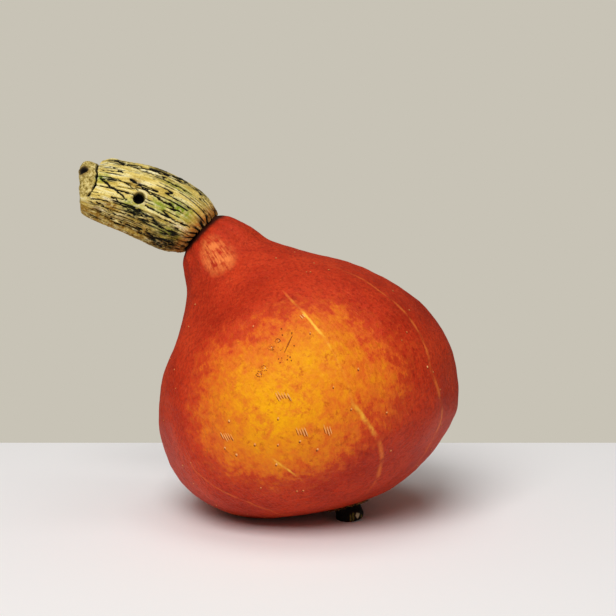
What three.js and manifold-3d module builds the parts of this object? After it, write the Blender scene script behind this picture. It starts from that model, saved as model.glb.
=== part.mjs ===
// Red kuri squash, in millimetres, +Z up. It lies tipped over: the belly and the corky blossom
// scar touch the ground, the neck points up to the left (-X) and the dry stem leans on from it.
// The origin is on the ground under the middle of the whole squash, and -Y is its front.

import * as THREE from 'three';
import { mergeVertices } from 'three/addons/utils/BufferGeometryUtils.js';
import Module from 'manifold-3d';

const wasm = await Module();
wasm.setup();

// ---- Driving dimensions ------------------------------------------------------------------

const BODY_RADIUS = 76; // half the squash's width across its belly
const RIB_COUNT = 10; // the fruit's meridian ribs, one over each pale stripe
const RIB_HEIGHT = 0.010; // how far a rib stands out, as a share of the local radius
const RIB_TURN = 21; // degrees from the front to the first rib
const FORWARD_TILT = 11; // degrees that the blossom end comes to the front
const FLAT_SPOT_DEPTH = 1.0; // how much of the belly the ground has pressed flat
const JOIN_GAP = 0.3; // free space between two pieces that touch

// The fruit's cross sections from the stem end to the blossom end. x and z place the middle of
// a section, lean is how steeply the fruit's axis points down there, in degrees, and size is the
// section's radius as a share of BODY_RADIUS.
const FRUIT_SECTIONS = [
  { x: -35.5, z: 144.0, lean: 43, size: 0 },
  { x: -34.0, z: 142.5, lean: 43, size: 0.12 },
  { x: -30.5, z: 139.0, lean: 45, size: 0.22 },
  { x: -25.5, z: 134.0, lean: 50, size: 0.28 },
  { x: -19.5, z: 124.5, lean: 55, size: 0.34 },
  { x: -12.5, z: 112.5, lean: 57, size: 0.51 },
  { x: -6.0, z: 98.0, lean: 57, size: 0.745 },
  { x: 3.5, z: 84.0, lean: 58, size: 0.9 },
  { x: 15.0, z: 69.0, lean: 62, size: 0.99 },
  { x: 24.0, z: 52.0, lean: 66, size: 1 },
  { x: 29.5, z: 34.0, lean: 70, size: 0.91 },
  { x: 31.0, z: 20.5, lean: 72, size: 0.72 },
  { x: 33.5, z: 11.5, lean: 74, size: 0.5 },
  { x: 37.5, z: 8.0, lean: 75, size: 0.26 },
  { x: 41.0, z: 7.0, lean: 75, size: 0 },
];
const TILT_PIVOT_Z = 55; // height of the section that stays in the middle plane, y = 0

const STEM_RADIUS = 18.4; // at the stem's thickest place
const STEM_RIDGES = 7; // blunt ridges along the stem
const STEM_RIDGE_HEIGHT = 0.035; // as a share of the local radius
const STEM_RIDGE_TURN = 5; // degrees that the first ridge is below the front

// The stem's cross sections from its cut end to its foot on the fruit, placed as the fruit's are.
const STEM_SECTIONS = [
  { x: -94.0, z: 165.5, lean: 2, size: 0 },
  { x: -93.7, z: 165.5, lean: 2, size: 0.4 },
  { x: -92.3, z: 165.2, lean: 4, size: 0.64 },
  { x: -88.0, z: 164.5, lean: 9, size: 0.76 },
  { x: -82.0, z: 163.5, lean: 13, size: 0.86 },
  { x: -74.0, z: 161.3, lean: 17, size: 0.92 },
  { x: -65.0, z: 158.5, lean: 20, size: 0.97 },
  { x: -57.0, z: 155.3, lean: 22, size: 1 },
  { x: -49.5, z: 151.7, lean: 25, size: 1 },
  { x: -43.5, z: 148.3, lean: 30, size: 0.96 },
  { x: -39.0, z: 145.4, lean: 36, size: 0.87 },
  { x: -35.0, z: 142.2, lean: 42, size: 0.71 },
  { x: -30.0, z: 138.5, lean: 45, size: 0.4 },
  { x: -28.0, z: 136.5, lean: 45, size: 0 },
];
const STEM_FORWARD_BEND = 6; // how far the cut end comes to the front

const SCAR_RADIUS = 7.2; // the corky button at the blossom end
const SCAR_LEAN = 72; // degrees that its axis points down
const SCAR_FORWARD = 20; // degrees that its axis points to the front
const SCAR_SECTIONS = [
  { along: -9, size: 0 },
  { along: -9, size: 0.7 },
  { along: -3, size: 0.84 },
  { along: 2, size: 0.9 },
  { along: 6, size: 1 },
  { along: 9, size: 0.86 },
  { along: 10, size: 0.5 },
  { along: 10.4, size: 0 },
];
const SCAR_X = 39.5; // where the scar's axis leaves the fruit
const SCAR_Z = 9;

const FRUIT_SIDES = 60; // facets round the fruit
const FRUIT_STEPS = 34; // facets along it
const STEM_SIDES = 42;
const STEM_STEPS = 26;
const SCAR_SIDES = 20;
const SCAR_STEPS = 12;

const CURVE_TENSION = 0.5; // how closely the surfaces follow their sections
const WELD_DISTANCE = 1e-4; // corners of facets nearer than this are one corner

const RIND_RED = 0xc4381f;
const CORK_STRAW = 0xb9a867;
const CORK_DARK = 0x2b211a;
const WAXY_ROUGHNESS = 0.45; // the rind's soft shine
const CORKY_ROUGHNESS = 0.88; // dry cork has none

// ---- Helpers -----------------------------------------------------------------------------

const radians = THREE.MathUtils.degToRad;

// How far a section at height z sits to the front (-y) of the middle plane.
function forwardShift(z) {
  return (z - TILT_PIVOT_Z) * Math.tan(radians(FORWARD_TILT));
}

function smoothCurve(knots) {
  return new THREE.CatmullRomCurve3(knots, false, 'catmullrom', CURVE_TENSION);
}

// A closed surface through round sections: two smooth curves carry the sections' middles and
// their lean and size, and outline(turn) gives the shape of one section as a share of its size.
// grow puts the whole surface that much further out.
function sectionedSurface(sections, radius, sides, steps, outline, grow = 0) {
  const middles = smoothCurve(sections.map((s) => new THREE.Vector3(s.x, s.y, s.z)));
  const sizes = smoothCurve(
    sections.map((s) => new THREE.Vector3(s.size * radius, s.lean, s.tilt)),
  );
  const ring = (share) => {
    const middle = middles.getPoint(share);
    const { x: size, y: lean, z: tilt } = sizes.getPoint(share);
    const across = new THREE.Vector3(Math.sin(radians(lean)), 0, Math.cos(radians(lean)));
    const down = new THREE.Vector3(
      Math.cos(radians(lean)) * Math.cos(radians(tilt)),
      -Math.sin(radians(tilt)),
      -Math.sin(radians(lean)) * Math.cos(radians(tilt)),
    );
    const front = new THREE.Vector3().crossVectors(down, across).normalize();
    return { middle, across, front, down, size };
  };

  const positions = [];
  const addPoint = (point) => positions.push(point.x, point.y, point.z);
  const first = ring(0);
  const last = ring(1);
  addPoint(first.middle.clone().addScaledVector(first.down, -grow));
  for (let step = 1; step < steps; step += 1) {
    const { middle, across, front, size } = ring(step / steps);
    for (let side = 0; side < sides; side += 1) {
      const turn = (side / sides) * Math.PI * 2;
      const reach = size * outline(turn) + grow;
      const point = middle.clone();
      point.addScaledVector(front, Math.cos(turn) * reach);
      point.addScaledVector(across, Math.sin(turn) * reach);
      addPoint(point);
    }
  }
  addPoint(last.middle.clone().addScaledVector(last.down, grow));

  const faces = [];
  const lastPoint = positions.length / 3 - 1;
  const at = (step, side) => 1 + (step - 1) * sides + (side % sides);
  for (let side = 0; side < sides; side += 1) {
    faces.push(0, at(1, side), at(1, side + 1));
    faces.push(lastPoint, at(steps - 1, side + 1), at(steps - 1, side));
    for (let step = 1; step < steps - 1; step += 1) {
      faces.push(at(step, side), at(step + 1, side), at(step + 1, side + 1));
      faces.push(at(step, side), at(step + 1, side + 1), at(step, side + 1));
    }
  }
  const geometry = new THREE.BufferGeometry();
  geometry.setAttribute('position', new THREE.Float32BufferAttribute(positions, 3));
  geometry.setIndex(faces);
  return geometry;
}

// Lets the squash sink by the depth of its flat spot, and presses what is then below the ground
// flat onto it.
function settle(geometry) {
  const position = geometry.getAttribute('position');
  for (let i = 0; i < position.count; i += 1) {
    position.setZ(i, Math.max(position.getZ(i) - FLAT_SPOT_DEPTH, 0));
  }
  return geometry;
}

function toSolid(geometry) {
  const merged = mergeVertices(geometry, WELD_DISTANCE);
  return new wasm.Manifold(
    new wasm.Mesh({
      numProp: 3,
      vertProperties: new Float32Array(merged.getAttribute('position').array),
      triVerts: new Uint32Array(merged.getIndex().array),
    }),
  );
}

function toGeometry(solid) {
  const mesh = solid.getMesh();
  const geometry = new THREE.BufferGeometry();
  geometry.setAttribute('position', new THREE.BufferAttribute(mesh.vertProperties, 3));
  geometry.setIndex(new THREE.BufferAttribute(mesh.triVerts, 1));
  return geometry;
}

function piece(name, geometry, color, roughness) {
  const material = new THREE.MeshStandardMaterial({ color, roughness, metalness: 0 });
  const mesh = new THREE.Mesh(geometry, material);
  mesh.name = name;
  geometry.computeVertexNormals();
  return mesh;
}

// ---- The fruit ---------------------------------------------------------------------------

// A section of the fruit bulges a little at each rib and is flatter between the ribs.
function ribbed(turn) {
  const phase = RIB_COUNT * (turn - radians(RIB_TURN));
  return 1 + (RIB_HEIGHT * (Math.cos(phase) - 1)) / 2;
}

function fruitSurface(grow = 0) {
  const sections = FRUIT_SECTIONS.map((s) => ({
    ...s,
    y: forwardShift(s.z),
    tilt: FORWARD_TILT,
  }));
  return sectionedSurface(sections, BODY_RADIUS, FRUIT_SIDES, FRUIT_STEPS, ribbed, grow);
}

const fruitGeometry = settle(fruitSurface());
const fruitRoom = toSolid(settle(fruitSurface(JOIN_GAP))); // what the other pieces leave free

// ---- The stem ----------------------------------------------------------------------------

function ridged(turn) {
  return 1 + STEM_RIDGE_HEIGHT * Math.cos(STEM_RIDGES * (turn + radians(STEM_RIDGE_TURN)));
}

function stemGeometry() {
  const neckY = forwardShift(STEM_SECTIONS.at(-1).z);
  const length = STEM_SECTIONS.at(-1).x - STEM_SECTIONS[0].x;
  const sections = STEM_SECTIONS.map((s) => {
    const outward = (STEM_SECTIONS.at(-1).x - s.x) / length;
    return { ...s, y: neckY - STEM_FORWARD_BEND * outward, tilt: FORWARD_TILT * (1 - outward) };
  });
  const surface = sectionedSurface(sections, STEM_RADIUS, STEM_SIDES, STEM_STEPS, ridged);
  return toGeometry(toSolid(settle(surface)).subtract(fruitRoom));
}

// ---- The blossom scar --------------------------------------------------------------------

function scarGeometry() {
  const sections = SCAR_SECTIONS.map((s) => {
    return {
      x: SCAR_X + s.along * Math.cos(radians(SCAR_LEAN)),
      y: forwardShift(SCAR_Z) - s.along * Math.tan(radians(SCAR_FORWARD)),
      z: SCAR_Z - s.along * Math.sin(radians(SCAR_LEAN)),
      lean: SCAR_LEAN,
      tilt: FORWARD_TILT,
      size: s.size,
    };
  });
  const surface = sectionedSurface(sections, SCAR_RADIUS, SCAR_SIDES, SCAR_STEPS, () => 1);
  return toGeometry(toSolid(settle(surface)).subtract(fruitRoom));
}

// ---- The whole squash --------------------------------------------------------------------

const squash = new THREE.Group();
squash.name = 'red_kuri_squash';
squash.add(piece('fruit', fruitGeometry, RIND_RED, WAXY_ROUGHNESS));
squash.add(piece('stem', stemGeometry(), CORK_STRAW, CORKY_ROUGHNESS));
squash.add(piece('blossom_scar', scarGeometry(), CORK_DARK, CORKY_ROUGHNESS));

export default squash;
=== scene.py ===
# %% [markdown]
# # A red kuri squash
#
# The squash lies tipped over on its belly and on the corky button where its flower was. It has
# three pieces: the fruit, the dry stem and the blossom scar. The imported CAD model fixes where
# they are and how big they are; this lesson gives each one the surface that grew on it.

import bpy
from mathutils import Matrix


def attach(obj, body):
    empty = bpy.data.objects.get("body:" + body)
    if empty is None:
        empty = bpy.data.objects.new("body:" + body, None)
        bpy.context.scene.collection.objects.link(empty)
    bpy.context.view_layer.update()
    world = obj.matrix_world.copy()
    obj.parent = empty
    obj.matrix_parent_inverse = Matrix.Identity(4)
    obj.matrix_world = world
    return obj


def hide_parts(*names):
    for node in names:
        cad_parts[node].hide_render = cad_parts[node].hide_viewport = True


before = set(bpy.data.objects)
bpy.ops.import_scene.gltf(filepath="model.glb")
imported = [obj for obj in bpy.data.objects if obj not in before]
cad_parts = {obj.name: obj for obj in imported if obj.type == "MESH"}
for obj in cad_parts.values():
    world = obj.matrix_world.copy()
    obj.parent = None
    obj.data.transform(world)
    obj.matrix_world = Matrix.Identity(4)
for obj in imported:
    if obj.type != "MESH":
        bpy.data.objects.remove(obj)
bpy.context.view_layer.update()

# %% Libraries and units
import math
from functools import partial

import bpy
import numpy as np
from mathutils import Vector
from mathutils.bvhtree import BVHTree

MM = 0.001  # shapes are worked out in millimetres, and Blender's objects are in metres

# %% [markdown]
# ## Camera
#
# The squash is seen from the front and from slightly above, through a long lens that keeps its
# proportions. The lens is aimed past the squash's middle, so that the stem has room on the left.
# In Blender an object holds its data, such as a camera or a mesh, and it shows only once it is
# linked into the scene, so one small function does both.

# %% Put a thing in the scene


def in_scene(name, data):
    """An object that holds this mesh, camera or light, linked into the scene."""
    thing = bpy.data.objects.new(name, data)
    bpy.context.collection.objects.link(thing)
    return thing


# %% The camera
VIEW_HEIGHT_ANGLE = math.radians(9)  # how far above the horizon the camera stands
VIEW_FIELD = math.radians(18)  # the whole width of the picture, as an angle
VIEW_WIDTH = 308 * MM  # what the picture spans at the squash
AIM = Vector((20.5, 2.4, 104.8)) * MM


def add_camera():
    data = bpy.data.cameras.new("camera")
    data.lens = data.sensor_width / 2 / math.tan(VIEW_FIELD / 2)
    camera = in_scene("camera", data)
    back = Vector((0, -math.cos(VIEW_HEIGHT_ANGLE), math.sin(VIEW_HEIGHT_ANGLE)))
    distance = VIEW_WIDTH / 2 / math.tan(VIEW_FIELD / 2)
    camera.location = AIM + back * distance
    camera.rotation_euler = (-back).to_track_quat("-Z", "Y").to_euler()
    bpy.context.scene.camera = camera
    print(f"camera {distance:.3f} m away, lens {data.lens:.0f} mm")


add_camera()

# %% [markdown]
# ## Colours and nodes
#
# Colours are written as sRGB hex values, as a colour picker shows them, and one function turns
# them into the linear numbers that shaders use. One more function adds any shader node, sets it
# up and links it.

# %% Helpers for colours and nodes


def linear(hex_colour):
    """An sRGB hex colour as linear red, green, blue and alpha."""
    channels = [int(hex_colour[i : i + 2], 16) / 255 for i in (1, 3, 5)]
    return (*(c / 12.92 if c <= 0.04045 else ((c + 0.055) / 1.055) ** 2.4 for c in channels), 1)


def set_inputs(node, inputs):
    """Gives each of a node's sockets a value, a hex colour or the socket that feeds it."""
    for socket, value in inputs.items():
        if isinstance(value, bpy.types.NodeSocket):
            node.id_data.links.new(value, node.inputs[socket])
        else:
            node.inputs[socket].default_value = linear(value) if isinstance(value, str) else value


def add_node(tree, kind, inputs=None, output=0, stops=(), **settings):
    """Adds a shader node, sets it up, links it, and gives back one of its outputs. stops are a
    colour ramp's positions and colours."""
    node = tree.nodes.new("ShaderNode" + kind)
    for name, value in settings.items():
        setattr(node, name, value)
    set_inputs(node, inputs or {})
    for i, (position, colour) in enumerate(stops):
        elements = node.color_ramp.elements
        element = elements[i] if i < len(elements) else elements.new(position)
        element.position = position
        element.color = linear(colour)
    return node.outputs[output]


def new_material(name):
    """A material, the function that adds nodes to it, and its surface shader."""
    material = bpy.data.materials.new(name)
    material.use_nodes = True
    tree = material.node_tree
    return material, partial(add_node, tree), tree.nodes["Principled BSDF"]


# a Mix node that mixes colours: the numbers of its sockets, and its settings
FACTOR, A, B = 0, 6, 7
COLOURS = {"data_type": "RGBA", "output": 2}


def per_mm(size):
    """The scale that makes a texture's features this many millimetres wide."""
    return 1 / (size * MM)


def noise_shows(add, noise_inputs, start, end, least=0.0, most=1.0):
    """How much a layer shows where its noise is strong: least up to start, most from end on."""
    value = add("TexNoise", noise_inputs)
    limits = {"From Min": start, "From Max": end, "To Min": least, "To Max": most}
    return add("MapRange", {"Value": value, **limits})


# %% [markdown]
# ## Noise for shapes
#
# Nothing that grew is smooth. Bumps that show in the outline have to be in the mesh, so the mesh
# points are moved by a three-dimensional noise: random numbers at the corners of a grid, blended
# smoothly between them. The random numbers come from a fixed seed, so each run is the same.

# %% Noise in numpy
NOISE_TABLE_SIZE = 256
noise_random = np.random.default_rng(7)
noise_order = noise_random.permutation(NOISE_TABLE_SIZE)
noise_values = noise_random.uniform(-1, 1, NOISE_TABLE_SIZE)


def noise(points, seed=0):
    """Smooth noise from -1 to 1, with features about one unit wide."""
    cell = np.floor(points).astype(int)
    inside = points - cell
    blend = inside * inside * inside * (inside * (inside * 6 - 15) + 10)
    total = np.zeros(points.shape[:-1])
    for corner in range(8):
        step = np.array([corner & 1, corner >> 1 & 1, corner >> 2])
        at = cell + step
        index = seed
        for axis in range(3):
            index = noise_order[(index + at[..., axis]) % NOISE_TABLE_SIZE]
        weight = np.where(step, blend, 1 - blend).prod(-1)
        total += weight * noise_values[index]
    return total


def rough_noise(points, octaves, seed=0):
    """Noise with finer and weaker noise on top of it."""
    total = np.zeros(points.shape[:-1])
    for octave in range(octaves):
        total += noise(points * 2**octave, seed + 11 * octave) / 2**octave
    return total


def smooth_step(values, start, end):
    """0 before start, 1 after end, and a smooth rise between them."""
    share = np.clip((values - start) / (end - start), 0, 1)
    return share * share * (3 - 2 * share)


# %% [markdown]
# ## Surfaces from cross sections
#
# The fruit, the stem and the scar are all built alike: round cross sections, each with a middle,
# a radius and a lean, joined by a smooth curve. A grid of points follows the sections from one
# end to the other and round them. Rows are spaced evenly along the surface, so the small squares
# between points stay about the same size.

# %% Grids through cross sections
DEGREE = math.pi / 180


def smooth_curve(knots, share):
    """Points at these shares of a smooth (Catmull-Rom) curve through the knots."""
    ends = (2 * knots[0] - knots[1], 2 * knots[-1] - knots[-2])
    knots = np.vstack([ends[0], knots, ends[1]])
    place = np.clip(share, 0, 1) * (len(knots) - 3)
    first = np.minimum(place.astype(int), len(knots) - 4)
    rest = (place - first)[:, None]
    before, start, end, after = (knots[first + i] for i in range(4))
    leave, arrive = (end - before) / 2, (after - start) / 2
    cubic = 2 * start - 2 * end + leave + arrive
    square = 3 * end - 3 * start - 2 * leave - arrive
    return ((cubic * rest + square) * rest + leave) * rest + start


def sections_at(knots, share):
    """Middle, radius and the three directions of the sections at these shares. A knot holds
    x, y, z, radius, lean and tilt."""
    values = smooth_curve(knots, share)
    lean, tilt = values[:, 4] * DEGREE, values[:, 5] * DEGREE
    across = np.stack([np.sin(lean), 0 * lean, np.cos(lean)], 1)
    down = np.stack(
        [np.cos(lean) * np.cos(tilt), -np.sin(tilt), -np.sin(lean) * np.cos(tilt)], 1
    )
    front = np.cross(down, across)
    front /= np.linalg.norm(front, axis=1)[:, None]
    return values[:, :3], values[:, 3], across, front


def even_shares(knots, rows):
    """Shares of the curve that space the rows evenly along the surface, and its length."""
    fine = np.linspace(0, 1, 4001)
    middle, radius, across, _ = sections_at(knots, fine)
    walked = np.zeros(len(fine))
    for side in (1, -1):
        edge = middle + side * radius[:, None] * across
        walked[1:] += np.cumsum(np.linalg.norm(np.diff(edge, axis=0), axis=1)) / 2
    return np.interp(np.linspace(0, walked[-1], rows + 1), walked, fine), walked[-1]


def section_grid(knots, rows, columns, outline):
    """Points of the surface, their turn round it and their distance along it. outline gives a
    section's shape as a share of its radius."""
    share, length = even_shares(knots, rows)
    middle, radius, across, front = sections_at(knots, share)
    turn = np.arange(columns) / columns * 2 * math.pi
    along = np.linspace(0, length, rows + 1)
    reach = radius[:, None] * outline(turn[None, :], along[:, None])
    points = middle[:, None] + reach[..., None] * (
        np.cos(turn)[None, :, None] * front[:, None] + np.sin(turn)[None, :, None] * across[:, None]
    )
    return points, turn[None, :] + 0 * reach, along[:, None] + 0 * reach


def outward(points):
    """Directions straight out of a grid's surface."""
    down = np.gradient(points, axis=0)
    round_it = np.roll(points, -1, axis=1) - np.roll(points, 1, axis=1)
    normals = np.cross(down, round_it)
    size = np.linalg.norm(normals, axis=-1, keepdims=True)
    normals /= np.maximum(size, 1e-12)
    middle = points.mean(1, keepdims=True)
    pointing = np.sign(((points - middle) * normals).sum((0, 1, 2)))
    normals *= pointing
    normals[0] = normals[1].mean(0) / np.linalg.norm(normals[1].mean(0))
    normals[-1] = normals[-2].mean(0) / np.linalg.norm(normals[-2].mean(0))
    return normals


def turned(turn, centre):
    """How many degrees each turn is away from centre, from -180 to 180."""
    return (np.degrees(turn) - centre + 180) % 360 - 180


def grid_object(name, points, fields):
    """A closed mesh from a grid whose first and last rows are its two ends. fields are numbers
    for each point, which materials can read."""
    rows, columns = points.shape[0] - 1, points.shape[1]
    inner = points[1:-1].reshape(-1, 3)
    vertices = np.vstack([points[0, :1], inner, points[-1, :1]]) * MM
    index = 1 + np.arange((rows - 1) * columns).reshape(rows - 1, columns)
    here, beside = index, np.roll(index, -1, axis=1)
    squares = np.stack([here[:-1], here[1:], beside[1:], beside[:-1]], -1).reshape(-1, 4)
    last = len(vertices) - 1
    start_fan = [(0, a, b) for a, b in zip(here[0].tolist(), beside[0].tolist())]
    end_fan = [(last, b, a) for a, b in zip(here[-1].tolist(), beside[-1].tolist())]
    mesh = bpy.data.meshes.new(name)
    mesh.from_pydata(vertices.tolist(), [], squares.tolist() + start_fan + end_fan)
    for field, values in fields.items():
        flat = np.concatenate(
            [values[0, :1], values[1:-1].reshape(-1, *values.shape[2:]), values[-1, :1]]
        )
        kind, slot = ("FLOAT_VECTOR", "vector") if flat.ndim == 2 else ("FLOAT", "value")
        layer = mesh.attributes.new(field, kind, "POINT")
        layer.data.foreach_set(slot, flat.astype(np.float32).ravel())
    mesh.shade_smooth()
    piece = in_scene(name, mesh)
    print(f"{name}: {len(mesh.vertices)} points, {len(mesh.polygons)} faces")
    return piece


# %% [markdown]
# ## The fruit's shape
#
# A kuri squash is a teardrop: a round belly that narrows to a neck. This one leans over, and its
# neck bends a little towards the stem. The sections are those of the CAD model. Ten blunt ribs
# run from end to end, one under each pale stripe. On top of them the rind has broad swells,
# smaller lumps, folds that gather where the stem joins, and a flat spot where it rests.

# %% The fruit's driving sizes
BODY_RADIUS = 76
RIB_COUNT = 10
RIB_HEIGHT = 0.010
FIRST_STRIPE = 21  # degrees from the front
FORWARD_TILT = 11
TILT_PIVOT_Z = 55
FLAT_SPOT_DEPTH = 1.0
FRUIT_SECTIONS = [  # x, z, lean in degrees and radius as a share of BODY_RADIUS
    (-35.5, 144.0, 43, 0),
    (-34.0, 142.5, 43, 0.12),
    (-30.5, 139.0, 45, 0.22),
    (-25.5, 134.0, 50, 0.28),
    (-19.5, 124.5, 55, 0.34),
    (-12.5, 112.5, 57, 0.51),
    (-6.0, 98.0, 57, 0.745),
    (3.5, 84.0, 58, 0.9),
    (15.0, 69.0, 62, 0.99),
    (24.0, 52.0, 66, 1),
    (29.5, 34.0, 70, 0.91),
    (31.0, 20.5, 72, 0.72),
    (33.5, 11.5, 74, 0.5),
    (37.5, 8.0, 75, 0.26),
    (41.0, 7.0, 75, 0),
]
FRUIT_ROWS, FRUIT_COLUMNS = 250, 380


def forward_shift(z):
    """How far a section at this height sits to the front of the middle."""
    return (z - TILT_PIVOT_Z) * math.tan(FORWARD_TILT * DEGREE)


def ribbed(turn, along):
    return 1 + RIB_HEIGHT / 2 * (np.cos(RIB_COUNT * (turn - FIRST_STRIPE * DEGREE)) - 1)


fruit_knots = np.array(
    [
        (x, forward_shift(z), z - FLAT_SPOT_DEPTH, size * BODY_RADIUS, lean, FORWARD_TILT)
        for x, z, lean, size in FRUIT_SECTIONS
    ]
)
fruit_points, fruit_turn, fruit_along = section_grid(
    fruit_knots, FRUIT_ROWS, FRUIT_COLUMNS, ribbed
)
fruit_length = fruit_along.max()
fruit_share = fruit_along / fruit_length
fruit_normals = outward(fruit_points)
print(f"from neck to blossom end along the rind: {fruit_length:.0f} mm")

# %% Swells, lumps and folds
BROAD_SWELLS = (  # x, y and z of the middle, reach and height, all in millimetres
    (85, -5, 40, 22, 2.4),
    (38, 0, 128, 22, -0.9),
    (-54, 0, 70, 28, -0.8),
    (-30, 17, 147, 8, 1.4),
    (-11, 17, 147, 9, -1.8),
)


FOLD_COUNT = 14
FOLD_HEIGHT = 0.35


def fruit_relief():
    """How far each point of the rind stands out of the plain ribbed shape, in millimetres."""
    swells = 0.5 * noise(fruit_points / 34, 3) + 0.4 * noise(fruit_points / 15, 5) - 0.3
    lumps = 0.16 * rough_noise(fruit_points / 5.5, 2, 9)
    folds = np.cos(FOLD_COUNT * fruit_turn + 2 * noise(fruit_points / 20, 2))
    on_neck = smooth_step(fruit_share, 0.05, 0.09) * smooth_step(-fruit_share, -0.2, -0.1)
    relief = swells + lumps + FOLD_HEIGHT * on_neck * folds
    for x, y, z, reach, height in BROAD_SWELLS:
        distance = np.linalg.norm(fruit_points - (x, y, z), axis=-1)
        relief += height * np.exp(-((distance / reach) ** 2))
    return relief


fruit_points += fruit_relief()[..., None] * fruit_normals
fruit_points[..., 2] = np.maximum(fruit_points[..., 2], 0)
fruit_normals = outward(fruit_points)

# %% [markdown]
# ## What the rind's colour follows
#
# The colour isn't the same all over. The side that faced away from the sun stayed yellow, and
# fades to orange at its ragged edge. A pale line runs along each rib, strong in some places and
# almost lost in others. The neck has a lighter, streaky patch that is a painted highlight. Each
# of these is a field: a number for every point of the mesh, worked out from its turn round the
# fruit and its place along it.

# %% Fields for the pale patch and the painted highlight on the neck
BELLY_MM_PER_DEGREE = BODY_RADIUS * DEGREE


def inside_oval(turn_centre, share_centre, turn_reach, share_reach):
    """How many millimetres each point of the rind is inside an oval, negative outside it."""
    round_it = turned(fruit_turn, turn_centre) / turn_reach
    narrow = min(turn_reach * BELLY_MM_PER_DEGREE, share_reach * fruit_length)
    return narrow * (1 - np.hypot(round_it, (fruit_share - share_centre) / share_reach))


def pale_patch():
    """Millimetres inside the patch: four ovals that flow into one another."""
    ovals = (
        inside_oval(-6, 0.555, 34, 0.165),
        inside_oval(13, 0.50, 27, 0.125),
        inside_oval(30, 0.58, 12, 0.055),
        inside_oval(-13, 0.475, 19, 0.105),
    )
    blend = 4.0
    return blend * np.log(sum(np.exp(np.maximum(oval, -60) / blend) for oval in ovals))


PATCH_FADE = 40  # millimetres inside the patch at which its field reaches 1
NECK_HIGHLIGHT_FADE = 9
fruit_fields = {
    "patch": pale_patch() / PATCH_FADE,
    # a painted highlight on the neck: where it shows, and how strongly
    "neck_highlight": np.clip(inside_oval(3, 0.132, 25, 0.058) / NECK_HIGHLIGHT_FADE, 0, 1),
}

# %% Fields for the stripes
STRIPE_GAP = 360 / RIB_COUNT
# how the stripes wander: share along the rind, and degrees to the side
STRIPE_BEND = (
    (0, 2), (0.33, 6), (0.47, 3), (0.6, -2.5), (0.65, 1), (0.7, 6), (0.74, 10), (0.8, 12), (1, 0)
)
# where each stripe shows: share along the rind, strength, and half its width in millimetres
STRIPE_SHOWS = {
    21: (
        (0.32, 0, 0.5), (0.36, 0.9, 0.7), (0.47, 0.95, 0.7), (0.50, 0.1, 0.6), (0.59, 0.1, 0.8),
        (0.62, 0.85, 1.4), (0.78, 0.8, 1.5), (0.86, 0.1, 1.0),
    ),
    57: ((0.3, 0, 0.5), (0.4, 0.5, 0.9), (0.56, 0.8, 1.3), (0.70, 0.8, 1.5), (0.84, 0.1, 0.9)),
    -15: ((0.64, 0, 0.6), (0.66, 0.8, 0.8), (0.70, 0.8, 0.8), (0.72, 0, 0.6)),
    -51: ((0.5, 0, 0.6), (0.6, 0.35, 0.8), (0.75, 0.5, 0.9), (0.85, 0.2, 0.8)),
}
OTHER_STRIPES_SHOW = (
    (0.15, 0, 0.6), (0.35, 0.4, 0.8), (0.6, 0.6, 1.1), (0.8, 0.5, 1.0), (0.92, 0, 1)
)
SHIFTED_STRIPES = {57: 2.5, -15: -1.8}  # degrees further to the side


def stripe_fields():
    """The distance to the nearest stripe's middle as a share of half its width, and the stripe's
    strength."""
    wander = np.interp(fruit_share, *zip(*STRIPE_BEND))
    wander += 0.8 * noise(fruit_points / 25, 21)
    offset = np.degrees(fruit_turn) - FIRST_STRIPE - wander
    number = np.round(offset / STRIPE_GAP)
    middle = (number * STRIPE_GAP + FIRST_STRIPE + 180) % 360 - 180
    radius = np.linalg.norm(fruit_points - fruit_points.mean(1, keepdims=True), axis=-1)
    off_middle = offset - number * STRIPE_GAP
    share, strength, half_width = zip(*OTHER_STRIPES_SHOW)
    strengths = np.interp(fruit_share, share, strength)
    half_widths = np.interp(fruit_share, share, half_width)
    for stripe, shows in STRIPE_SHOWS.items():
        share, strength, half_width = zip(*shows)
        here = np.abs(middle - stripe) < 1
        strengths = np.where(here, np.interp(fruit_share, share, strength), strengths)
        half_widths = np.where(here, np.interp(fruit_share, share, half_width), half_widths)
        off_middle = off_middle - here * SHIFTED_STRIPES.get(stripe, 0)
    return off_middle * DEGREE * radius / half_widths, strengths


fruit_fields["stripe_offset"], fruit_fields["stripe_strength"] = stripe_fields()

# %% Fields for the growth direction and the two ends
GRAIN_ROUND = 12  # noise cells round the fruit, so that streaks run along it
GRAIN_LENGTH = 18  # millimetres along the fruit for one cell
fruit_fields["grain"] = np.stack(
    [
        GRAIN_ROUND * np.cos(fruit_turn),
        GRAIN_ROUND * np.sin(fruit_turn),
        fruit_along / GRAIN_LENGTH,
    ],
    -1,
)
fruit_fields["end_scar"] = smooth_step(fruit_share, 0.955, 0.985) + smooth_step(
    -fruit_share, -0.077, -0.061
)

fruit = grid_object("fruit_rind", fruit_points, fruit_fields)
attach(fruit, "root")
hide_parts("fruit")

# %% [markdown]
# ## The rind's material
#
# The rind is a waxy plant skin that grew and ripened: a strong pigment under a thin, matt wax. To
# the eye it is one deep colour that is never quite even, with a broad, weak shine and no mirror
# image. Wax has an IOR near 1.45, and its bloom makes the rind fairly rough.
#
# The colour is built in layers, and each layer is one mix. First comes the ground colour with
# finer and finer mottling, then the pale patch with its specks, then the stripes, the neck's
# painted highlight and the brown ends. A field says where a layer is, and noise roughens its edge.

# %% The ground colour


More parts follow.
